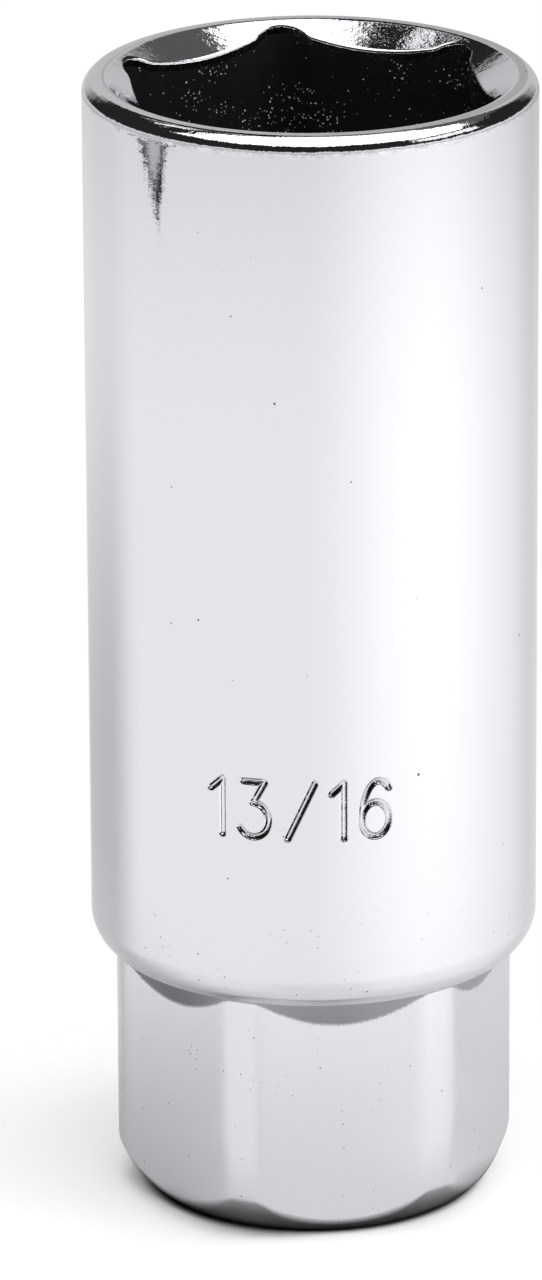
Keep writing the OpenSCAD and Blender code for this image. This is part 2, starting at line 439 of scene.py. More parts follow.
def body_section(turn, sizes, number, insert):
    """The body's section in the direction turn, and the finish after each of its points."""
    top = sizes.overall_length
    barrel = sizes.barrel_radius
    neck = sizes.wrench_apothem / math.cos(math.pi / 6) - sizes.corner_cut
    shoulder = Vector((barrel - sizes.shoulder_radius, sizes.shoulder_height + sizes.shoulder_radius))
    reach = min(wrench_reach(turn, sizes), neck - NECK_SPARE)
    lip_way = Vector((math.cos(sizes.lip_angle), -math.sin(sizes.lip_angle)))
    lip = shoulder + lip_way * sizes.shoulder_radius - lip_way.orthogonal() * sizes.lip_length
    meet_z = lip.y - LIP_SPARE
    runout_z = sizes.shoulder_height - sizes.runout_drop
    runout_start = runout_z + (reach - sizes.wrench_apothem) * math.tan(sizes.runout_angle)
    runout_start = min(runout_start, meet_z - RUNOUT_LEAST)
    crown = crown_arc(sizes, neck)
    mouth = mouth_reach(turn, sizes)
    lead = barrel - sizes.bevel_width - sizes.rim_width
    lead_low = top - (lead - mouth) * math.tan(sizes.lead_angle)
    mouth_bottom = top - sizes.mouth_depth
    bore = sizes.mouth_apothem - sizes.bore_step
    square = polygon_reach(turn, 4, sizes.square_apothem, sizes.square_corner, math.pi / 4)
    entry = sizes.square_apothem * math.sqrt(2) + sizes.square_relief
    seat = INSERT_LOW.z
    groove = INSERT_HIGH.x + sizes.groove_play
    groove_low = seat + insert.bead_height - sizes.groove_play
    groove_high = groove_low + insert.bead_width + 2 * sizes.groove_play

    def crown_z(radius):
        return crown.y - math.sqrt(sizes.crown_radius ** 2 - (radius - crown.x) ** 2)

    corners = [corner(entry, 0, ENTRY_EDGE), corner(sizes.foot_radius, 0, FOOT_EDGE)]
    for part in CROWN_PARTS:
        radius = sizes.foot_radius + part * (reach - sizes.foot_radius)
        corners.append(corner(radius, crown_z(radius)))
    corners += [
        corner(reach, crown_z(reach), CROWN_EDGE),
        corner(reach, runout_start, RUNOUT_EDGE, DULL_AND_SHADE),
        corner(neck, meet_z, NECK_EDGE, DULL_AND_SHADE),
        corner(lip.x, lip.y, LIP_EDGE),
    ]
    for step in range(SHOULDER_STEPS + 1):
        bend = -sizes.lip_angle * (1 - step / SHOULDER_STEPS)
        point = shoulder + sizes.shoulder_radius * Vector((math.cos(bend), math.sin(bend)))
        corners.append(corner(point.x, point.y))
    low, high = number_rings(number)
    for ring in range(number.panel_rings + 1):
        corners.append(corner(barrel, low + (high - low) * ring / number.panel_rings))
    corners += [
        corner(barrel, top - sizes.bevel_height, BEVEL_EDGE, most=BEVEL_MOST),
        corner(barrel - sizes.bevel_width, top, RIM_EDGE),
        corner(lead, top, LEAD_EDGE, LEAD_IN),
        corner(mouth, lead_low, MOUTH_EDGE, LEAD_IN),
        corner(mouth, lead_low - sizes.lead_plated, SHARP, BLACKENED),
        corner(mouth, mouth_bottom, MOUTH_END, BLACKENED),
        corner(bore, mouth_bottom, BORE_EDGE, BLACKENED),
        corner(bore, groove_high, SHARP, BLACKENED),
        corner(groove, groove_high, SHARP, BLACKENED),
        corner(groove, groove_low, SHARP, BLACKENED),
        corner(bore, groove_low, SHARP, BLACKENED),
        corner(bore, seat, SHARP, BLACKENED),
        corner(entry, seat, SEAT_EDGE, BLACKENED),
        corner(entry, sizes.square_depth),
        corner(square, sizes.square_depth, SQUARE_END),
    ]
    for row in range(DETENT_ROWS + 1):
        height = sizes.detent_height + sizes.detent_ball * (1 - 2 * row / DETENT_ROWS)
        corners.append(corner(square, height))
    corners.append(corner(square, entry - square, SQUARE_EDGE))
    return soften(corners)


def form_body(piece, sizes, number, insert):
    """Moves each vertex of the spun body to the section in its own direction."""
    mesh = piece.data
    stations = vertex_stations(mesh)
    places = vertex_places(mesh)
    turns = np.arctan2(places[:, 1], places[:, 0])
    columns = np.rint(turns / FULL_TURN * sizes.columns).astype(int) % sizes.columns
    half = sizes.columns // 2
    sections = {}
    for column in range(sizes.columns):
        turn = column * FULL_TURN / sizes.columns
        fold = min(column % half, half - column % half)
        if fold not in sections:
            points, _ = body_section(fold * FULL_TURN / sizes.columns, sizes, number, insert)
            sections[fold] = np.array([point[:] for point in points])
        section = sections[fold]
        mine = np.nonzero(columns == column)[0]
        radius = section[stations[mine], 0]
        places[mine, 0] = radius * math.cos(turn)
        places[mine, 1] = radius * math.sin(turn)
        places[mine, 2] = section[stations[mine], 1]
    place_vertices(mesh, places)


def press_detents(piece, sizes):
    """Presses the four ball dimples into the walls of the drive square."""
    mesh = piece.data
    places = vertex_places(mesh)
    centre = sizes.square_apothem + sizes.detent_depth - sizes.detent_ball
    slack = 0.02 * MM
    for axis in (0, 1):
        for side in (-1, 1):
            across = places[:, 1 - axis]
            rise = places[:, 2] - sizes.detent_height
            spare = sizes.detent_ball ** 2 - across ** 2 - rise ** 2
            on_wall = np.abs(places[:, axis] * side - sizes.square_apothem) < slack
            depth = centre + np.sqrt(np.maximum(spare, 0))
            dimple = on_wall & (spare > 0) & (depth > sizes.square_apothem)
            places[dimple, axis] = side * depth[dimple]
    place_vertices(mesh, places)


def line(start, stop):
    """A straight stroke of a figure."""
    return [start, stop]


def bow(centre, reach, start, stop):
    """A curved stroke: part of an ellipse from start to stop, in degrees."""
    steps = 28
    turns = [math.radians(start + (stop - start) * step / steps) for step in range(steps + 1)]
    return [(centre[0] + reach[0] * math.cos(turn), centre[1] + reach[1] * math.sin(turn)) for turn in turns]


# Strokes of each figure in millimetres, from the middle of its foot
FIGURES = {
    "1": [line((-0.75, 2.86), (0, 3.54)), line((0, 3.54), (0, 0))],
    "3": [
        line((-0.58, 3.54), (0.72, 3.54)),
        line((0.72, 3.54), (0, 2.2)),
        bow((0, 1.1), (0.95, 1.1), 90, -150),
    ],
    "6": [bow((0.2, 1.1), (1.04, 2.44), 52, 180), bow((0, 1.1), (0.84, 1.1), 0, 360)],
    "/": [line((-0.82, 0), (0.82, 3.54))],
}
# Each figure of the size number with its place along the barrel from the front, in millimetres
SIZE_NUMBER = [("1", -7.76), ("3", -5.8), ("/", -2.86), ("1", -0.27), ("6", 1.66)]
# Half the width kept for a figure, in millimetres
FIGURE_HALF = 1.4


def number_segments():
    """Every stroke of the size number as straight pieces, in metres along and up the barrel."""
    rows = []
    for figure, place in SIZE_NUMBER:
        for stroke in FIGURES[figure]:
            for (x0, y0), (x1, y1) in zip(stroke, stroke[1:]):
                rows.append((place + x0, y0, place + x1, y1))
    return np.array(rows) * MM


def stroke_offsets(points, segments):
    """Offset of each point from the nearest stroke's middle."""
    offsets = np.ones_like(points)
    for x0, y0, x1, y1 in segments:
        way = np.array([x1 - x0, y1 - y0])
        from_start = points - np.array([x0, y0])
        part = np.clip(from_start @ way / (way @ way), 0, 1)
        offset = from_start - part[:, None] * way
        nearer = np.linalg.norm(offset, axis=1) < np.linalg.norm(offsets, axis=1)
        offsets[nearer] = offset[nearer]
    return offsets


# Across a stroke of the number, in half widths: where its wall ends and starts, where the painted shade
# starts and is full on the side turned from the light, and where it ends at the edge
WALL = (0.22, 1.08)
GROOVE_SHADE_START = (0.02, 0.47)
GROOVE_SHADE_END = (0.93, 1.05)
SHADED_SIDE = (0.55, -0.83)
# Share of the wall that is straight and not eased, and share of the painted shade on the last figure
WALL_STRAIGHT = 0.6
GROOVE_SHADE_LAST = 0.62


def press_number(piece, sizes, number):
    """Refines the barrel around the size number, presses its grooves in and marks painted shade on their
    lower and right-hand walls.
    """
    mesh = piece.data
    barrel = sizes.barrel_radius
    skin = 0.99 * barrel
    low, high = number_rings(number)
    left = (SIZE_NUMBER[0][1] - FIGURE_HALF) * MM
    right = (SIZE_NUMBER[-1][1] + FIGURE_HALF) * MM
    select_only(piece)
    bpy.ops.object.mode_set(mode="EDIT")
    bpy.ops.mesh.select_mode(type="FACE")
    bpy.ops.mesh.select_all(action="DESELECT")
    bpy.ops.object.mode_set(mode="OBJECT")
    for face in mesh.polygons:
        middle = face.center
        along = (math.atan2(middle.y, middle.x) - FRONT) * barrel
        outside = math.hypot(middle.x, middle.y) > skin
        face.select = outside and left < along < right and low < middle.z < high
    bpy.ops.object.mode_set(mode="EDIT")
    bpy.ops.mesh.subdivide(number_cuts=number.panel_cuts)
    bpy.ops.object.mode_set(mode="OBJECT")
    places = vertex_places(mesh)
    radius = np.hypot(places[:, 0], places[:, 1])
    turns = np.arctan2(places[:, 1], places[:, 0])
    along = (turns - FRONT) * barrel
    slack = 0.05 * MM
    panel = (radius > skin) & (along > left - slack) & (along < right + slack)
    panel &= (places[:, 2] > low - slack) & (places[:, 2] < high + slack)
    points = np.column_stack([along[panel], places[panel, 2] - number.baseline])
    offsets = stroke_offsets(points, number_segments()) / (number.stroke_width / 2)
    distance = np.linalg.norm(offsets, axis=1)
    wall = np.interp(distance, WALL, (1, 0))
    eased = wall * wall * (3 - 2 * wall)
    pressed = barrel - number.stroke_depth * (WALL_STRAIGHT * wall + (1 - WALL_STRAIGHT) * eased)
    places[panel, 0] = pressed * np.cos(turns[panel])
    places[panel, 1] = pressed * np.sin(turns[panel])
    place_vertices(mesh, places)
    # Painted shade on each groove's lower and right-hand wall
    groove_shade = np.zeros(len(places), dtype=np.float32)
    groove_shade[panel] = np.interp(offsets @ np.array(SHADED_SIDE), GROOVE_SHADE_START, (0, 1))
    groove_shade[panel] *= np.interp(distance, GROOVE_SHADE_END, (1, 0))
    groove_shade[panel] *= np.interp(along[panel], (0, right), (1, GROOVE_SHADE_LAST))
    mesh.attributes.new("groove_shade", "FLOAT", "POINT").data.foreach_set("value", groove_shade)


RIBS = 6
RIB_STEPS = 6
# Where the moulded rings start along the funnel, and how much of it they take
RIB_START = 0.12
RIB_SPAN = 0.76


def insert_section(sizes):
    """Half section of the rubber insert."""
    low = INSERT_LOW.z
    high = INSERT_HIGH.z
    bead = INSERT_HIGH.x
    outer = bead - sizes.bead_proud
    funnel_top = outer - sizes.funnel_wall
    funnel_low = high - sizes.funnel_depth
    grip_low = funnel_low - sizes.grip_length
    bead_low = low + sizes.bead_height
    bead_high = bead_low + sizes.bead_width
    corners = [
        corner(sizes.terminal_radius, low, SLEEVE_EDGE),
        corner(outer - sizes.edge_bevel, low, SLEEVE_EDGE),
        corner(outer, low + sizes.edge_bevel, SLEEVE_EDGE),
        corner(outer, bead_low, BEAD_ROOT),
        corner(bead, bead_low, BEAD_EDGE),
        corner(bead, bead_high, BEAD_EDGE),
        corner(outer, bead_high, BEAD_ROOT),
        corner(outer, high - sizes.edge_bevel, SLEEVE_TOP),
        corner(outer - sizes.edge_bevel, high, SLEEVE_TOP),
        corner(funnel_top, high, FUNNEL_EDGE),
    ]
    slope = Vector((sizes.grip_radius - funnel_top, funnel_low - high))
    across = Vector((slope.y, -slope.x)).normalized()
    for step in range(1, RIBS * RIB_STEPS):
        part = RIB_START + RIB_SPAN * step / (RIBS * RIB_STEPS)
        wave = 0.5 - 0.5 * math.cos(FULL_TURN * step / RIB_STEPS)
        point = Vector((funnel_top, high)) + slope * part - across * sizes.rib_depth * wave
        corners.append(corner(point.x, point.y))
    corners += [
        corner(sizes.grip_radius, funnel_low, GRIP_EDGE),
        corner(sizes.grip_radius, grip_low, GRIP_END),
        corner(sizes.terminal_radius, grip_low, GRIP_END),
    ]
    return soften(corners)


class NodeSheet:
    """Adds and links the nodes of one node tree."""

    def __init__(self, tree):
        tree.nodes.clear()
        self.tree = tree

    def feed(self, socket, value):
        """Links an input to an output, or sets it to a value."""
        if isinstance(value, bpy.types.NodeSocket):
            self.tree.links.new(value, socket)
        else:
            socket.default_value = value

    def add(self, kind, inputs=(), **settings):
        """A node of the given kind with its settings and what feeds its inputs."""
        node = self.tree.nodes.new(kind)
        for key, value in settings.items():
            setattr(node, key, value)
        for key, value in dict(inputs).items():
            self.feed(node.inputs[key], value)
        return node

    def math(self, operation, *values, clamp=False):
        """A Math node on sockets or numbers."""
        node = self.add("ShaderNodeMath", enumerate(values), operation=operation, use_clamp=clamp)
        return node.outputs[0]

    def chain(self, operation, first, *others):
        """The same Math node over several sockets or numbers."""
        for other in others:
            first = self.math(operation, first, other)
        return first

    def times(self, *values):
        """The product of all values."""
        return self.chain("MULTIPLY", *values)

    def plus(self, *values):
        """The sum of all values."""
        return self.chain("ADD", *values)

    def minus(self, first, second):
        """The first value less the second."""
        return self.math("SUBTRACT", first, second)

    def largest(self, *values):
        """The largest of all values."""
        return self.chain("MAXIMUM", *values)

    def vector(self, operation, *values):
        """A Vector Math node on sockets or vectors."""
        return self.add("ShaderNodeVectorMath", enumerate(values), operation=operation)

    def ramp(self, value, low, high, to_low=0.0, to_high=1.0, smooth=True):
        """Maps a value between two limits."""
        kind = "SMOOTHSTEP" if smooth else "LINEAR"
        inputs = {"Value": value, "From Min": low, "From Max": high, "To Min": to_low, "To Max": to_high}
        return self.add("ShaderNodeMapRange", inputs, interpolation_type=kind).outputs["Result"]

    def blend(self, factor, first, second):
        """Mixes two colours, given as sockets or colours."""
        ends = [end if isinstance(end, bpy.types.NodeSocket) else (*end, 1) for end in (first, second)]
        return self.add("ShaderNodeMix", {0: factor, 6: ends[0], 7: ends[1]}, data_type="RGBA").outputs[2]


def group_sheet(name, inputs, outputs):
    """A new shader node group with float sockets, and its sheet, input node and output node."""
    tree = bpy.data.node_groups.new(name, "ShaderNodeTree")
    for label, default in inputs.items():
        socket = tree.interface.new_socket(label, in_out="INPUT", socket_type="NodeSocketFloat")
        socket.default_value = default
    for label in outputs:
        tree.interface.new_socket(label, in_out="OUTPUT", socket_type="NodeSocketFloat")
    sheet = NodeSheet(tree)
    return sheet, sheet.add("NodeGroupInput").outputs, sheet.add("NodeGroupOutput").inputs


def speck_group():
    """Scattered small specks: a cell pattern in which only some cells hold a speck, of varied size."""
    inputs = {"Scale": 500.0, "Share": 0.3, "Size": 0.1, "Cluster": 0.0}
    sheet, given, result = group_sheet("scattered specks", inputs, ["Mask"])
    place = sheet.add("ShaderNodeTexCoord").outputs["Object"]
    waver = sheet.add("ShaderNodeTexNoise", {"Vector": place, "Scale": 9000.0, "Detail": 2.0})
    shift = sheet.vector("SCALE", waver.outputs["Color"])
    shift.inputs["Scale"].default_value = 0.12 * MM
    moved = sheet.vector("ADD", place, shift.outputs[0]).outputs[0]
    cells = sheet.add("ShaderNodeTexVoronoi", {"Vector": moved, "Scale": given["Scale"]}, feature="F1")
    draw = sheet.add("ShaderNodeSeparateColor", {0: cells.outputs["Color"]})
    patch = sheet.add("ShaderNodeTexNoise", {"Vector": place, "Scale": 300.0, "Detail": 2.0})
    spare = sheet.times(sheet.ramp(patch.outputs["Fac"], 0.47, 0.62, 1, 0), given["Cluster"])
    chance = sheet.times(given["Share"], sheet.minus(1.0, spare))
    held = sheet.math("LESS_THAN", draw.outputs[0], chance)
    radius = sheet.times(given["Size"], sheet.ramp(draw.outputs[1], 0, 1, 0.35, 1.0, smooth=False))
    outward = sheet.math("DIVIDE", cells.outputs["Distance"], radius)
    edge = sheet.ramp(sheet.math("SUBTRACT", 1.0, outward, clamp=True), 0.0, 0.35)
    sheet.feed(result["Mask"], sheet.times(edge, held))
    return sheet.tree


def polish_group():
    """Waviness and cloudy haze of a worked surface."""
    sheet, given, result = group_sheet("polish", {"Scale": 900.0}, ["Height", "Haze"])
    place = sheet.add("ShaderNodeTexCoord").outputs["Object"]
    inputs = {"Vector": place, "Scale": given["Scale"], "Detail": 3.5, "Roughness": 0.68}
    swell = sheet.add("ShaderNodeTexNoise", inputs)
    haze = sheet.add("ShaderNodeTexNoise", {"Vector": place, "Scale": 160.0, "Detail": 4.0})
    sheet.feed(result["Height"], swell.outputs["Fac"])
    sheet.feed(result["Haze"], sheet.ramp(haze.outputs["Fac"], 0.35, 0.7))
    return sheet.tree


def new_material(name):
    """A material with its sheet and a Principled shader linked to the output."""
    material = bpy.data.materials.new(name)
    material.use_nodes = True
    sheet = NodeSheet(material.node_tree)
    shader = sheet.add("ShaderNodeBsdfPrincipled")
    sheet.add("ShaderNodeOutputMaterial", {"Surface": shader.outputs["BSDF"]})
    return sheet, shader


def place_group(sheet, tree, **values):
    """A shared group in a material, with its own values. Gives its outputs."""
    return sheet.add("ShaderNodeGroup", values, node_tree=tree).outputs


def add_bump(sheet, shader, height, distance):
    """Roughens a shader by a height."""
    inputs = {"Height": height, "Strength": 1.0, "Distance": distance}
    bump = sheet.add("ShaderNodeBump", inputs)
    sheet.feed(shader.inputs["Normal"], bump.outputs["Normal"])


PLATING_WAVE = 0.07
LEAD_IN_WAVE = 1.9
FINE_BUMP = 0.01 * MM
COARSE_BUMP = 0.06 * MM
# Heights between which handling marks end, and depths below the rim between which its unevenness starts
HANDLED = (17 * MM, 24 * MM)
RIM_BAND = (1.3 * MM, 0.7 * MM)
# How much the outline of a marked area wavers, and where the area starts and is full
GROOVE_SHADE_AREA = (0.25, 0.35, 0.75)
DULL_AND_SHADE_AREA = (0.45, 0.45, 0.65)


def marked_area(sheet, label, crumbs, waver, low, high):
    """A mark on the mesh, and the area that it covers, with a crumbly outline."""
    mark = sheet.add("ShaderNodeAttribute", attribute_name=label).outputs["Fac"]
    uneven = sheet.plus(mark, sheet.ramp(crumbs, 0.3, 0.7, -waver, waver))
    return mark, sheet.times(sheet.ramp(uneven, low, high), sheet.math("GREATER_THAN", mark, 0.01))


def plating_material(name, finish, specks, polish, wave):
    """Chrome plating with sparse pits, faint haze, a waviness of the given height and an uneven rim, with
    painted shade in the number's grooves and on the dull run-outs.
    """
    sheet, shader = new_material(name)
    shader.inputs["Metallic"].default_value = 1.0
    pits = place_group(sheet, specks, Scale=700.0, Share=0.4, Size=0.07, Cluster=0.7)
    grain = place_group(sheet, specks, Scale=2600.0, Share=0.6, Size=0.17, Cluster=1.0)
    sheen = place_group(sheet, polish, Scale=1500.0)
    edge = place_group(sheet, polish, Scale=1300.0)
    crumbs = place_group(sheet, polish, Scale=9000.0)["Height"]
    place = sheet.add("ShaderNodeTexCoord").outputs["Object"]
    above = sheet.add("ShaderNodeSeparateXYZ", {0: place}).outputs["Z"]
    handled = sheet.ramp(above, *HANDLED, 1, 0)
    marks = sheet.largest(pits["Mask"], sheet.times(grain["Mask"], handled))
    # Painted shade in the number's grooves, with a crumbly outline
    _, groove_shaded = marked_area(sheet, "groove_shade", crumbs, *GROOVE_SHADE_AREA)
    # Dull plating and painted shade on the run-outs
    recess, ragged = marked_area(sheet, "dull_and_shade", crumbs, *DULL_AND_SHADE_AREA)
    pitted = sheet.blend(marks, finish.plating, finish.plating_pit)
    # Painted shade: the run-outs darker again on the -X side
    unpolished_and_shaded = sheet.blend(sheet.ramp(recess, 1, 1.4), finish.dull_and_shade, finish.dull_shade_side)
    coloured = sheet.blend(ragged, pitted, unpolished_and_shaded)
    sheet.feed(shader.inputs["Base Color"], sheet.blend(groove_shaded, coloured, finish.groove_shade))
    gloss = finish.plating_gloss
    haze = sheet.ramp(sheen["Haze"], 0, 1, gloss, gloss * 2, smooth=False)
    worn = sheet.times(sheet.largest(marks, groove_shaded), 0.3)
    soft = sheet.math("MINIMUM", sheet.times(recess, 1.2), 0.35)
    soft = sheet.largest(soft, sheet.times(ragged, 0.35))
    sheet.feed(shader.inputs["Roughness"], sheet.plus(haze, worn, soft))
    rim = sheet.ramp(above, *(BODY_HIGH.z - depth for depth in RIM_BAND), 0, finish.rim_wave)
    uneven = sheet.times(sheet.minus(edge["Height"], 0.5), rim)
    height = sheet.plus(sheet.minus(sheet.times(sheen["Height"], wave), marks), uneven)
    add_bump(sheet, shader, height, FINE_BUMP)


def bore_material(finish, specks, polish):
    """Blackened steel with scattered bright grain, whose near-white colour is a painted glint."""
    sheet, shader = new_material("blackened_bore")
    fine = place_group(sheet, specks, Scale=4600.0, Share=0.95, Size=0.35, Cluster=0.97)
    coarse = place_group(sheet, specks, Scale=1900.0, Share=0.8, Size=0.17, Cluster=0.85)
    sheen = place_group(sheet, polish, Scale=900.0)
    marks = sheet.largest(fine["Mask"], coarse["Mask"])
    # Painted glint: near-white grain
    sheet.feed(shader.inputs["Base Color"], sheet.blend(marks, finish.bore, finish.bore_speck_glint))
    sheet.feed(shader.inputs["Roughness"], sheet.ramp(sheen["Haze"], 0, 1, 0.45, 0.65, smooth=False))
    shader.inputs["Specular IOR Level"].default_value = 0.2
    add_bump(sheet, shader, sheet.plus(sheen["Height"], marks), COARSE_BUMP)


def rubber_material(finish, specks, polish):
    """Moulded rubber with a satin skin and a trace of talc."""
    sheet, shader = new_material("moulded_rubber")
    talc = place_group(sheet, specks, Scale=1100.0, Share=0.25, Size=0.2, Cluster=0.5)
    skin = place_group(sheet, polish, Scale=900.0)
    dusty = sheet.largest(sheet.times(talc["Mask"], 0.5), sheet.times(skin["Haze"], 0.3))
    sheet.feed(shader.inputs["Base Color"], sheet.blend(dusty, finish.rubber, finish.rubber_dust))
    sheet.feed(shader.inputs["Roughness"], sheet.ramp(skin["Haze"], 0, 1, 0.5, 0.7, smooth=False))
    add_bump(sheet, shader, skin["Height"], COARSE_BUMP)


def finished(piece, node):
    """Smooths a finished piece, seats it in the frame and lets it stand for its CAD node."""
    select_only(piece)
    bpy.ops.object.shade_smooth()
    if "station" in piece.data.attributes:
        piece.data.attributes.remove(piece.data.attributes["station"])
    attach(piece, "root")
    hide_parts(node)


# Where the -X side starts and is full, as cosines from -X; the run-outs get more painted shade there
LEFT_SIDE = (0.5, 0.9)


def mark_dull_and_shade(mesh, finishes, sizes):
    """Marks the run-outs that the polish doesn't reach, with painted shade under the shoulder, more of it on
    the -X side, turned from the light, and the lip faintly.
    """
    stations = vertex_stations(mesh)
    first = finishes.index(DULL_AND_SHADE)
    last = first + finishes.count(DULL_AND_SHADE)
    runout = np.clip(1 - (first - stations) / sizes.dull_and_shade_steps, 0, 1)
    lip = sizes.lip_dull_and_shade * np.clip(1 - (stations - last) / sizes.lip_steps, 0, 1)
    dull_and_shade = np.where(stations <= last, runout, lip)
    places = vertex_places(mesh)
    leftward = -places[:, 0] / np.hypot(places[:, 0], places[:, 1])
    # Painted shade: more on the -X side, turned from the light
    dull_and_shade *= 1 + np.interp(leftward, LEFT_SIDE, (0, sizes.left_painted_shade))
    mesh.attributes.new("dull_and_shade", "FLOAT", "POINT").data.foreach_set("value", dull_and_shade.astype(np.float32))


class SOCKET_OT_plated_body(bpy.types.Operator):
    """Spins the steel body, forms its hexagons and its square, and presses the size number in"""

    bl_idname = "socket.plated_body"
    bl_label = "Plated body"

    def execute(self, context):
        scene = context.scene
        sizes = scene.socket_body
        number = scene.socket_number
        insert = scene.socket_insert
        section, finishes = body_section(0, sizes, number, insert)
        piece = spin_section("plated_body", section, sizes.columns)
        form_body(piece, sizes, number, insert)
        mesh = piece.data
        for name in ("polished_plating", "blackened_bore", "turned_lead_in"):
            mesh.materials.append(bpy.data.materials[name])
        stations = vertex_stations(mesh)
        for face in mesh.polygons:
            ends = [stations[index] for index in face.vertices]
            closing = max(ends) - min(ends) > 1
            face.material_index = finishes[max(ends) if closing else min(ends)] % DULL_AND_SHADE
        mark_dull_and_shade(mesh, finishes, sizes)
        press_detents(piece, sizes)
        press_number(piece, sizes, number)
        finished(piece, "socket_body")
        return {"FINISHED"}


class SOCKET_OT_rubber_insert(bpy.types.Operator):
    """Spins the rubber insert"""

    bl_idname = "socket.rubber_insert"
    bl_label = "Rubber insert"

    def execute(self, context):
        sizes = context.scene.socket_insert
        section, _ = insert_section(sizes)
        piece = spin_section("rubber_sleeve", section, sizes.columns)
        piece.data.materials.append(bpy.data.materials["moulded_rubber"])
        finished(piece, "rubber_insert")
        return {"FINISHED"}


class SOCKET_OT_finishes(bpy.types.Operator):
    """Makes the shared node groups and the materials"""

    bl_idname = "socket.finishes"
    bl_label = "Finishes"

    def execute(self, context):
        finish = context.scene.socket_finish
        specks = speck_group()
        polish = polish_group()
        plating_material("polished_plating", finish, specks, polish, PLATING_WAVE)
        plating_material("turned_lead_in", finish, specks, polish, LEAD_IN_WAVE)
        bore_material(finish, specks, polish)
        rubber_material(finish, specks, polish)
        return {"FINISHED"}


def camera_axes(stage):
    """Forward, right and up directions of a camera at the stage's azimuth and elevation."""
    turn = stage.camera_azimuth
    level = Vector((-math.sin(turn), math.cos(turn), 0))
    right = Vector((math.cos(turn), math.sin(turn), 0))
    forward = level * math.cos(stage.camera_elevation) - Vector((0, 0, math.sin(stage.camera_elevation)))
    return forward, right, right.cross(forward)


def level_way(stage, azimuth):
    """Level direction at an azimuth to the right of the camera, seen from the part."""
    forward, right, _ = camera_axes(stage)
    ahead = Vector((-forward.x, -forward.y, 0)).normalized()
    return ahead * math.cos(azimuth) + right * math.sin(azimuth)


def add_camera(stage):
    """The camera, at the photograph's viewing angle."""
    forward, right, up = camera_axes(stage)
    pivot = Vector((0, 0, stage.aim_height))
    place = pivot - forward * stage.camera_distance
    aim = pivot + right * stage.aim_across + up * stage.aim_up
    bpy.ops.object.camera_add(location=place)
    camera = bpy.context.object
    camera.name = "camera"
    camera.data.lens = stage.camera_lens
    camera.data.sensor_width = 36
    camera.data.clip_start = 0.01
    look = (aim - place).to_track_quat("-Z", "Y").to_euler()
    look.rotate_axis("Z", stage.camera_roll)
    camera.rotation_euler = look
    bpy.context.scene.camera = camera


# The floor's ramps. Sides are cosines from a direction: where a ramp starts and ends, and what it runs
# between. The lit ring is measured from the axis, starts and widths from the foot's edge, and the standing
# ring in shares of the foot's radius
CONTACT_SIDES = (-0.3, 0.25)
CORE_SIDES = (-0.1, 0.8, 0.4, 1)
LIFT_SIDES = (0.3, 0.95, 0.6, 1)
LIT_SIDES = (0.6, 0.95)
LIT_LEFT_SIDES = (0.8, 0.99, 0, 0.8)
LIT_RING = (18 * MM, 26 * MM)
SEEN_START = 0.3 * MM
LIFT_START = 0.2 * MM
LIFT_END = 0.92 * BODY_HIGH.x
CORE_WIDTH = 1 * MM
CORE_DARK = 0.97
STANDING_RING = (0.72, 0.95)


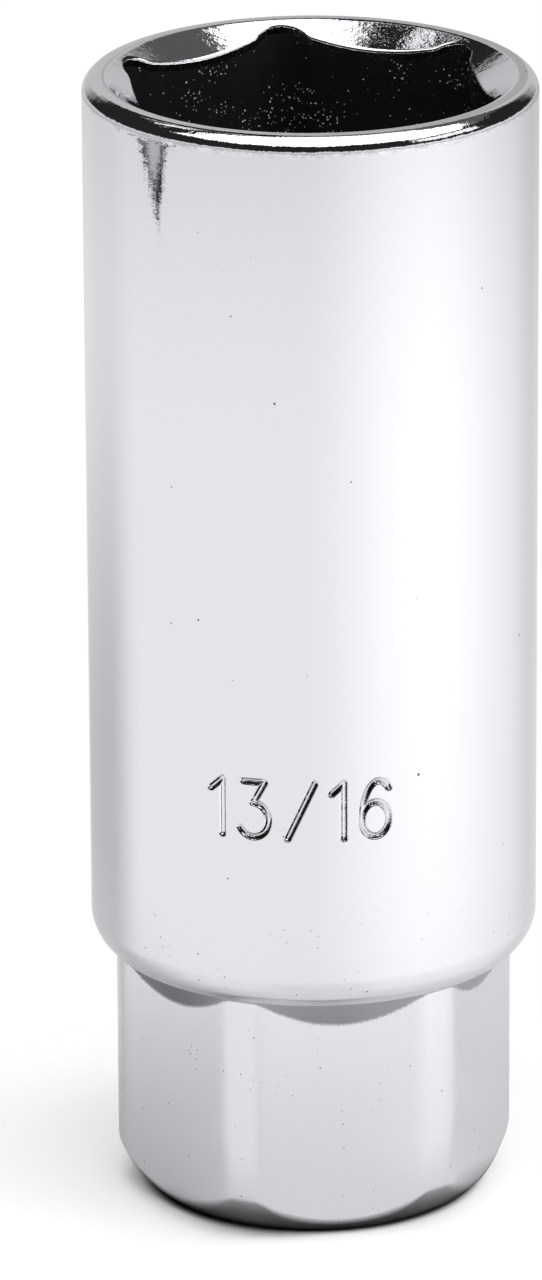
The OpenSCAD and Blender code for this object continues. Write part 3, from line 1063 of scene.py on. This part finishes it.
def floor_material(stage, foot_radius):
    """Pale floor that blends into the sweep. The camera and the metal each see their own shade of it, with
    painted shade and painted light in its colour.
    """
    material = bpy.data.materials.new("studio_floor")
    material.use_nodes = True
    sheet = NodeSheet(material.node_tree)
    place = sheet.add("ShaderNodeTexCoord").outputs["Object"]
    away = sheet.vector("LENGTH", place).outputs["Value"]
    outward = sheet.vector("NORMALIZE", place).outputs[0]
    path = sheet.add("ShaderNodeLightPath").outputs
    to_camera = path["Is Camera Ray"]
    from_below = sheet.add("ShaderNodeNewGeometry").outputs["Backfacing"]

    def facing(azimuth):
        return sheet.vector("DOT_PRODUCT", outward, level_way(stage, azimuth)).outputs["Value"]

    shaded = facing(stage.shade_azimuth)
    # Painted light for the camera: beside the foot's lit side the floor is cleared to the white behind it,
    # over its real shadow
    contact = sheet.ramp(away, foot_radius, foot_radius + stage.contact_width)
    contact = sheet.times(contact, sheet.ramp(shaded, *CONTACT_SIDES, stage.contact_clear, 0))
    near_fade = sheet.largest(sheet.ramp(away, BODY_HIGH.x, stage.floor_clear), contact, from_below)
    inner, outer = (part * foot_radius for part in STANDING_RING)
    ring = sheet.times(sheet.math("GREATER_THAN", away, inner), sheet.math("LESS_THAN", away, outer))
    under = sheet.times(ring, path["Is Glossy Ray"])
    far_fade = sheet.largest(sheet.ramp(away, stage.floor_fade, stage.floor_radius), under)
    fade = sheet.add("ShaderNodeMix", {0: to_camera, 2: far_fade, 3: near_fade}, data_type="FLOAT")
    # Painted light: the metal sees the floor brighter on its lit sides
    lit_left = sheet.ramp(facing(stage.lit_left_azimuth), *LIT_LEFT_SIDES)
    lit = sheet.largest(sheet.ramp(facing(stage.lit_azimuth), *LIT_SIDES), lit_left)
    lit = sheet.times(lit, sheet.ramp(away, *LIT_RING, 0, stage.lit_gain))
    # Painted shade: the metal sees the floor darker right under the part
    start = foot_radius + SEEN_START
    seen = sheet.ramp(away, start, stage.floor_spread, stage.floor_near, stage.floor_far)
    seen = sheet.times(seen, sheet.plus(lit, 1.0))
    # Painted shadow: a dark contact ring around the foot in the colour that the camera sees, darkest on the
    # shaded side
    dark = sheet.ramp(away, foot_radius, foot_radius + CORE_WIDTH, CORE_DARK, 0)
    dark = sheet.times(dark, sheet.ramp(shaded, *CORE_SIDES))
    core = sheet.times(sheet.minus(1.0, dark), stage.floor_white)
    pale = sheet.add("ShaderNodeBsdfDiffuse", {"Color": sheet.blend(to_camera, seen, core)})
    # Painted light: a glow that brightens the floor for the camera away from the foot, fullest on the shaded
    # side
    lift = sheet.ramp(away, foot_radius + LIFT_START, LIFT_END, 0, stage.floor_lift)
    lift = sheet.times(lift, sheet.ramp(shaded, *LIFT_SIDES), to_camera)
    glow = sheet.add("ShaderNodeEmission", {"Strength": lift})
    bright = sheet.add("ShaderNodeAddShader", {0: pale.outputs[0], 1: glow.outputs[0]})
    clear = sheet.add("ShaderNodeBsdfTransparent")
    ends = {0: fade.outputs[0], 1: bright.outputs[0], 2: clear.outputs[0]}
    mix = sheet.add("ShaderNodeMixShader", ends)
    sheet.add("ShaderNodeOutputMaterial", {"Surface": mix.outputs[0]})
    return material


def add_floor(stage, foot_radius):
    """A round floor just under the part."""
    gap = Vector((0, 0, -0.02 * MM))
    bpy.ops.mesh.primitive_circle_add(
        vertices=96, radius=stage.floor_radius, fill_type="NGON", location=gap
    )
    floor = bpy.context.object
    floor.name = "studio_floor"
    floor.data.materials.append(floor_material(stage, foot_radius))


# The studio around the part, in degrees above level ("rise") and to the right of the camera ("turn").
# A window has two ends and the width of its soft sides, an edge two ends and what it runs between
STUDIO = {
    "bright side": 63,
    "bright side fall": (0, 72),
    "bright side rise": (-22, -19, 0.75, 1),
    "right dim turn": (118, 150),
    "left dim turn": (-128, -98, 1, 0),
    "left dim rise": (-20.3, -17, 0.75, -0.6),
    "left dim back": (-179, -160),
    "table rise": (-18.5, -13, 1, 0.55),
    "table far rise": (-13, -6, 1, 1.45),
    "table end": (-4, -1, 1, 0),
    "panel rise": (13, 27, 3),
    "panel turn": (58, 91, 5),
    "streak tip": 16.93,
    "streak turn": 83,
    "streak fringe": 4,
    "streak side": (-0.3, 0.3),
    "streak middle": (2.2, 4.6, 1.0, 0.36),
    "streak end": (-16.05, -15.5, 1, 0),
    "front lamp rise": (40, 44),
    "front lamp turn": (-86, 107, 4),
    "top lamp rise": (60, 63),
    "top lamp notch": (-165, -100, 8),
    "top lamp notch depth": 12,
    "wall rise": (-8, 36, 4),
    "wall turn": (138, 160),
    "wall slope": (-90, 90),
    "wall slope depth": -12,
    "corner rise": (38, 62, 4),
    "corner turn": (105, 170, 10),
    "rig rise": (46, 74, 3),
    "rig turn": (-150, -112, 6),
    "rig gap": (60, 67, 2),
}
# The dip in the back wall, as cosines from the camera's right
DIP_START = (-0.03, 0.03)
DIP_END = (0.06, 0.15, 0.27, 0)
# The streak's lean, the width that it gains above its tip, and the fineness of its fringe along turn and rise
STREAK_LEAN = 7.3
STREAK_WIDTH = 15.0
STREAK_FLARE = 500.0
FRINGE = (20.0, 1400.0)
STUDIO_TINT = (0.985, 0.985, 1.0, 1)


class StudioSheet(NodeSheet):
    """The world's nodes, with each direction's rise above level and turn to the right of the camera."""

    def __init__(self, tree, stage):
        super().__init__(tree)
        self.direction = self.add("ShaderNodeTexCoord").outputs["Generated"]
        self.rise = self.math("ARCSINE", self.add("ShaderNodeSeparateXYZ", {0: self.direction}).outputs["Z"])
        self.across = self.towards(camera_axes(stage)[1])
        self.turn = self.math("ARCTAN2", self.across, self.towards(level_way(stage, 0)))

    def towards(self, way):
        """How far a direction points along a way."""
        return self.vector("DOT_PRODUCT", self.direction, way).outputs["Value"]

    def edge(self, value, name, *ends):
        """An edge of the studio over an angle."""
        low, high, *own = STUDIO[name]
        return self.ramp(value, math.radians(low), math.radians(high), *(own or ends))

    def window(self, value, name):
        """A window of the studio over an angle."""
        low, high, soft = (math.radians(degrees) for degrees in STUDIO[name])
        return self.times(self.ramp(value, low - soft, low), self.ramp(value, high, high + soft, 1, 0))

    def patch(self, name):
        """A patch of the studio, with a window each way."""
        return self.times(self.window(self.turn, name + " turn"), self.window(self.rise, name + " rise"))


def studio_table(sheet, stage):
    """The pale table and sweep below level, brighter at the right front and dimmer behind the part."""
    rise, turn = sheet.rise, sheet.turn
    off_bright = sheet.math("ABSOLUTE", sheet.minus(turn, math.radians(STUDIO["bright side"])))
    gain = sheet.edge(off_bright, "bright side fall", stage.sweep_bright, 0)
    gain = sheet.times(gain, sheet.edge(rise, "bright side rise"))
    uneven = sheet.times(sheet.edge(rise, "left dim rise"), sheet.edge(turn, "left dim back"))
    left_dim = sheet.times(sheet.edge(turn, "left dim turn"), sheet.plus(uneven, 1.0))
    dim = sheet.plus(sheet.edge(turn, "right dim turn"), left_dim)
    sweep = sheet.minus(stage.sweep_level, sheet.times(dim, stage.sweep_dim))
    table = sheet.times(sheet.edge(rise, "table rise"), sheet.edge(rise, "table far rise"))
    return sheet.times(table, sheet.edge(rise, "table end"), sheet.plus(sweep, gain))


def studio_streak(sheet):
    """A dark streak on the table, which widens and leans above its tip and has a ragged fringe."""
    rise, turn = sheet.rise, sheet.turn
    ways = {0: sheet.times(turn, FRINGE[0]), 1: sheet.times(rise, FRINGE[1])}
    place = sheet.add("ShaderNodeCombineXYZ", ways).outputs[0]
    inputs = {"Vector": place, "Scale": 1.0, "Detail": 3.0, "Roughness": 0.7}
    noise = sheet.add("ShaderNodeTexNoise", inputs).outputs["Fac"]
    shift = math.radians(STUDIO["streak fringe"])
    fringe = sheet.ramp(noise, 0.25, 0.75, -shift, shift, smooth=False)
    above_tip = sheet.plus(rise, math.radians(STUDIO["streak tip"]))
    lean = sheet.plus(sheet.times(above_tip, STREAK_LEAN), math.radians(STUDIO["streak turn"]))
    across = sheet.math("ABSOLUTE", sheet.plus(turn, lean))
    flare = sheet.plus(sheet.times(sheet.largest(above_tip, 0.0), STREAK_FLARE), STREAK_WIDTH)
    inside = sheet.plus(sheet.minus(sheet.times(above_tip, flare), across), fringe)
    streak = sheet.times(sheet.edge(inside, "streak side"), sheet.edge(inside, "streak middle"))
    return sheet.times(streak, sheet.edge(rise, "streak end"))


def studio_lamps(sheet, stage):
    """The softbox overhead, the side panel, the back wall with its corner, and the lamp rig."""
    rise, turn = sheet.rise, sheet.turn
    front = sheet.times(sheet.edge(rise, "front lamp rise"), sheet.window(turn, "front lamp turn"))
    notch = sheet.window(turn, "top lamp notch")
    notch = sheet.times(notch, math.radians(STUDIO["top lamp notch depth"]))
    overhead = sheet.edge(sheet.minus(rise, notch), "top lamp rise")
    top = sheet.times(sheet.largest(front, overhead), stage.top_level)
    slope = sheet.edge(turn, "wall slope", math.radians(STUDIO["wall slope depth"]), 0)
    wall = sheet.window(sheet.minus(rise, slope), "wall rise")
    aside = sheet.math("ABSOLUTE", turn)
    wall = sheet.times(wall, sheet.edge(aside, "wall turn", 0, stage.back_level))
    dip = sheet.times(sheet.ramp(sheet.across, *DIP_START), sheet.ramp(sheet.across, *DIP_END))
    wall = sheet.times(wall, sheet.minus(1.0, dip))
    clutter = sheet.add("ShaderNodeTexNoise", {"Vector": sheet.direction, "Scale": 9.0, "Detail": 4.0})
    gap = sheet.times(sheet.window(rise, "rig gap"), 0.1)
    lamps = sheet.ramp(sheet.minus(clutter.outputs["Fac"], gap), 0.48, 0.53, 0, stage.rig_level)
    rig = sheet.times(sheet.patch("rig"), lamps)
    panel = sheet.times(sheet.patch("panel"), stage.panel_level)
    room_corner = sheet.times(sheet.patch("corner"), stage.corner_level)
    return sheet.largest(top, wall, rig, panel, room_corner)


def add_world(stage):
    """A studio for the metal to mirror, and plain white behind everything for the camera."""
    world = bpy.data.worlds.new("studio")
    bpy.context.scene.world = world
    world.use_nodes = True
    sheet = StudioSheet(world.node_tree, stage)
    table = sheet.times(studio_table(sheet, stage), sheet.minus(1.0, studio_streak(sheet)))
    level = sheet.largest(table, studio_lamps(sheet, stage), stage.room_level)
    studio = sheet.add("ShaderNodeBackground", {"Color": STUDIO_TINT, "Strength": level})
    white = sheet.add("ShaderNodeBackground", {"Color": (1, 1, 1, 1), "Strength": 1.0})
    to_camera = sheet.add("ShaderNodeLightPath").outputs["Is Camera Ray"]
    mix = sheet.add("ShaderNodeMixShader", {0: to_camera, 1: studio.outputs[0], 2: white.outputs[0]})
    sheet.add("ShaderNodeOutputWorld", {"Surface": mix.outputs[0]})


def add_key(stage):
    """A soft lamp above and to the right of the part."""
    level = level_way(stage, stage.key_azimuth)
    away = level * math.cos(stage.key_elevation) + Vector((0, 0, math.sin(stage.key_elevation)))
    bpy.ops.object.light_add(type="AREA", location=away * stage.key_distance)
    lamp = bpy.context.object
    lamp.name = "key_lamp"
    lamp.data.shape = "SQUARE"
    lamp.data.size = stage.key_width
    lamp.data.energy = stage.key_power
    lamp.rotation_euler = away.to_track_quat("Z", "Y").to_euler()


class SOCKET_OT_studio(bpy.types.Operator):
    """Adds the camera, the floor and the light"""

    bl_idname = "socket.studio"
    bl_label = "Studio"

    def execute(self, context):
        stage = context.scene.socket_stage
        clear_selection()
        add_camera(stage)
        clear_selection()
        add_floor(stage, context.scene.socket_body.foot_radius)
        clear_selection()
        add_key(stage)
        add_world(stage)
        context.scene.view_settings.view_transform = "Standard"
        return {"FINISHED"}


class SOCKET_PT_sidebar(bpy.types.Panel):
    """Lists the steps in the sidebar."""

    bl_idname = "SOCKET_PT_sidebar"
    bl_label = "Spark plug socket"
    bl_space_type = "VIEW_3D"
    bl_region_type = "UI"
    bl_category = "Socket"

    def draw(self, context):
        for step in STEPS:
            self.layout.operator(step.bl_idname)


STEPS = (SOCKET_OT_finishes, SOCKET_OT_plated_body, SOCKET_OT_rubber_insert, SOCKET_OT_studio)
SETTINGS = {
    "socket_body": SocketBodySizes,
    "socket_number": SizeNumberSizes,
    "socket_insert": InsertSizes,
    "socket_finish": FinishSettings,
    "socket_stage": StageSettings,
}


def register():
    """Registers the settings, the steps and the panel."""
    for name, group in SETTINGS.items():
        bpy.utils.register_class(group)
        setattr(bpy.types.Scene, name, PointerProperty(type=group))
    for kind in (*STEPS, SOCKET_PT_sidebar):
        bpy.utils.register_class(kind)


def unregister():
    """Takes everything out again."""
    for kind in reversed((*STEPS, SOCKET_PT_sidebar)):
        bpy.utils.unregister_class(kind)
    for name, group in reversed(SETTINGS.items()):
        delattr(bpy.types.Scene, name)
        bpy.utils.unregister_class(group)


def main():
    register()
    bpy.ops.socket.finishes()
    bpy.ops.socket.plated_body()
    bpy.ops.socket.rubber_insert()
    bpy.ops.socket.studio()


if __name__ == "__main__":
    main()
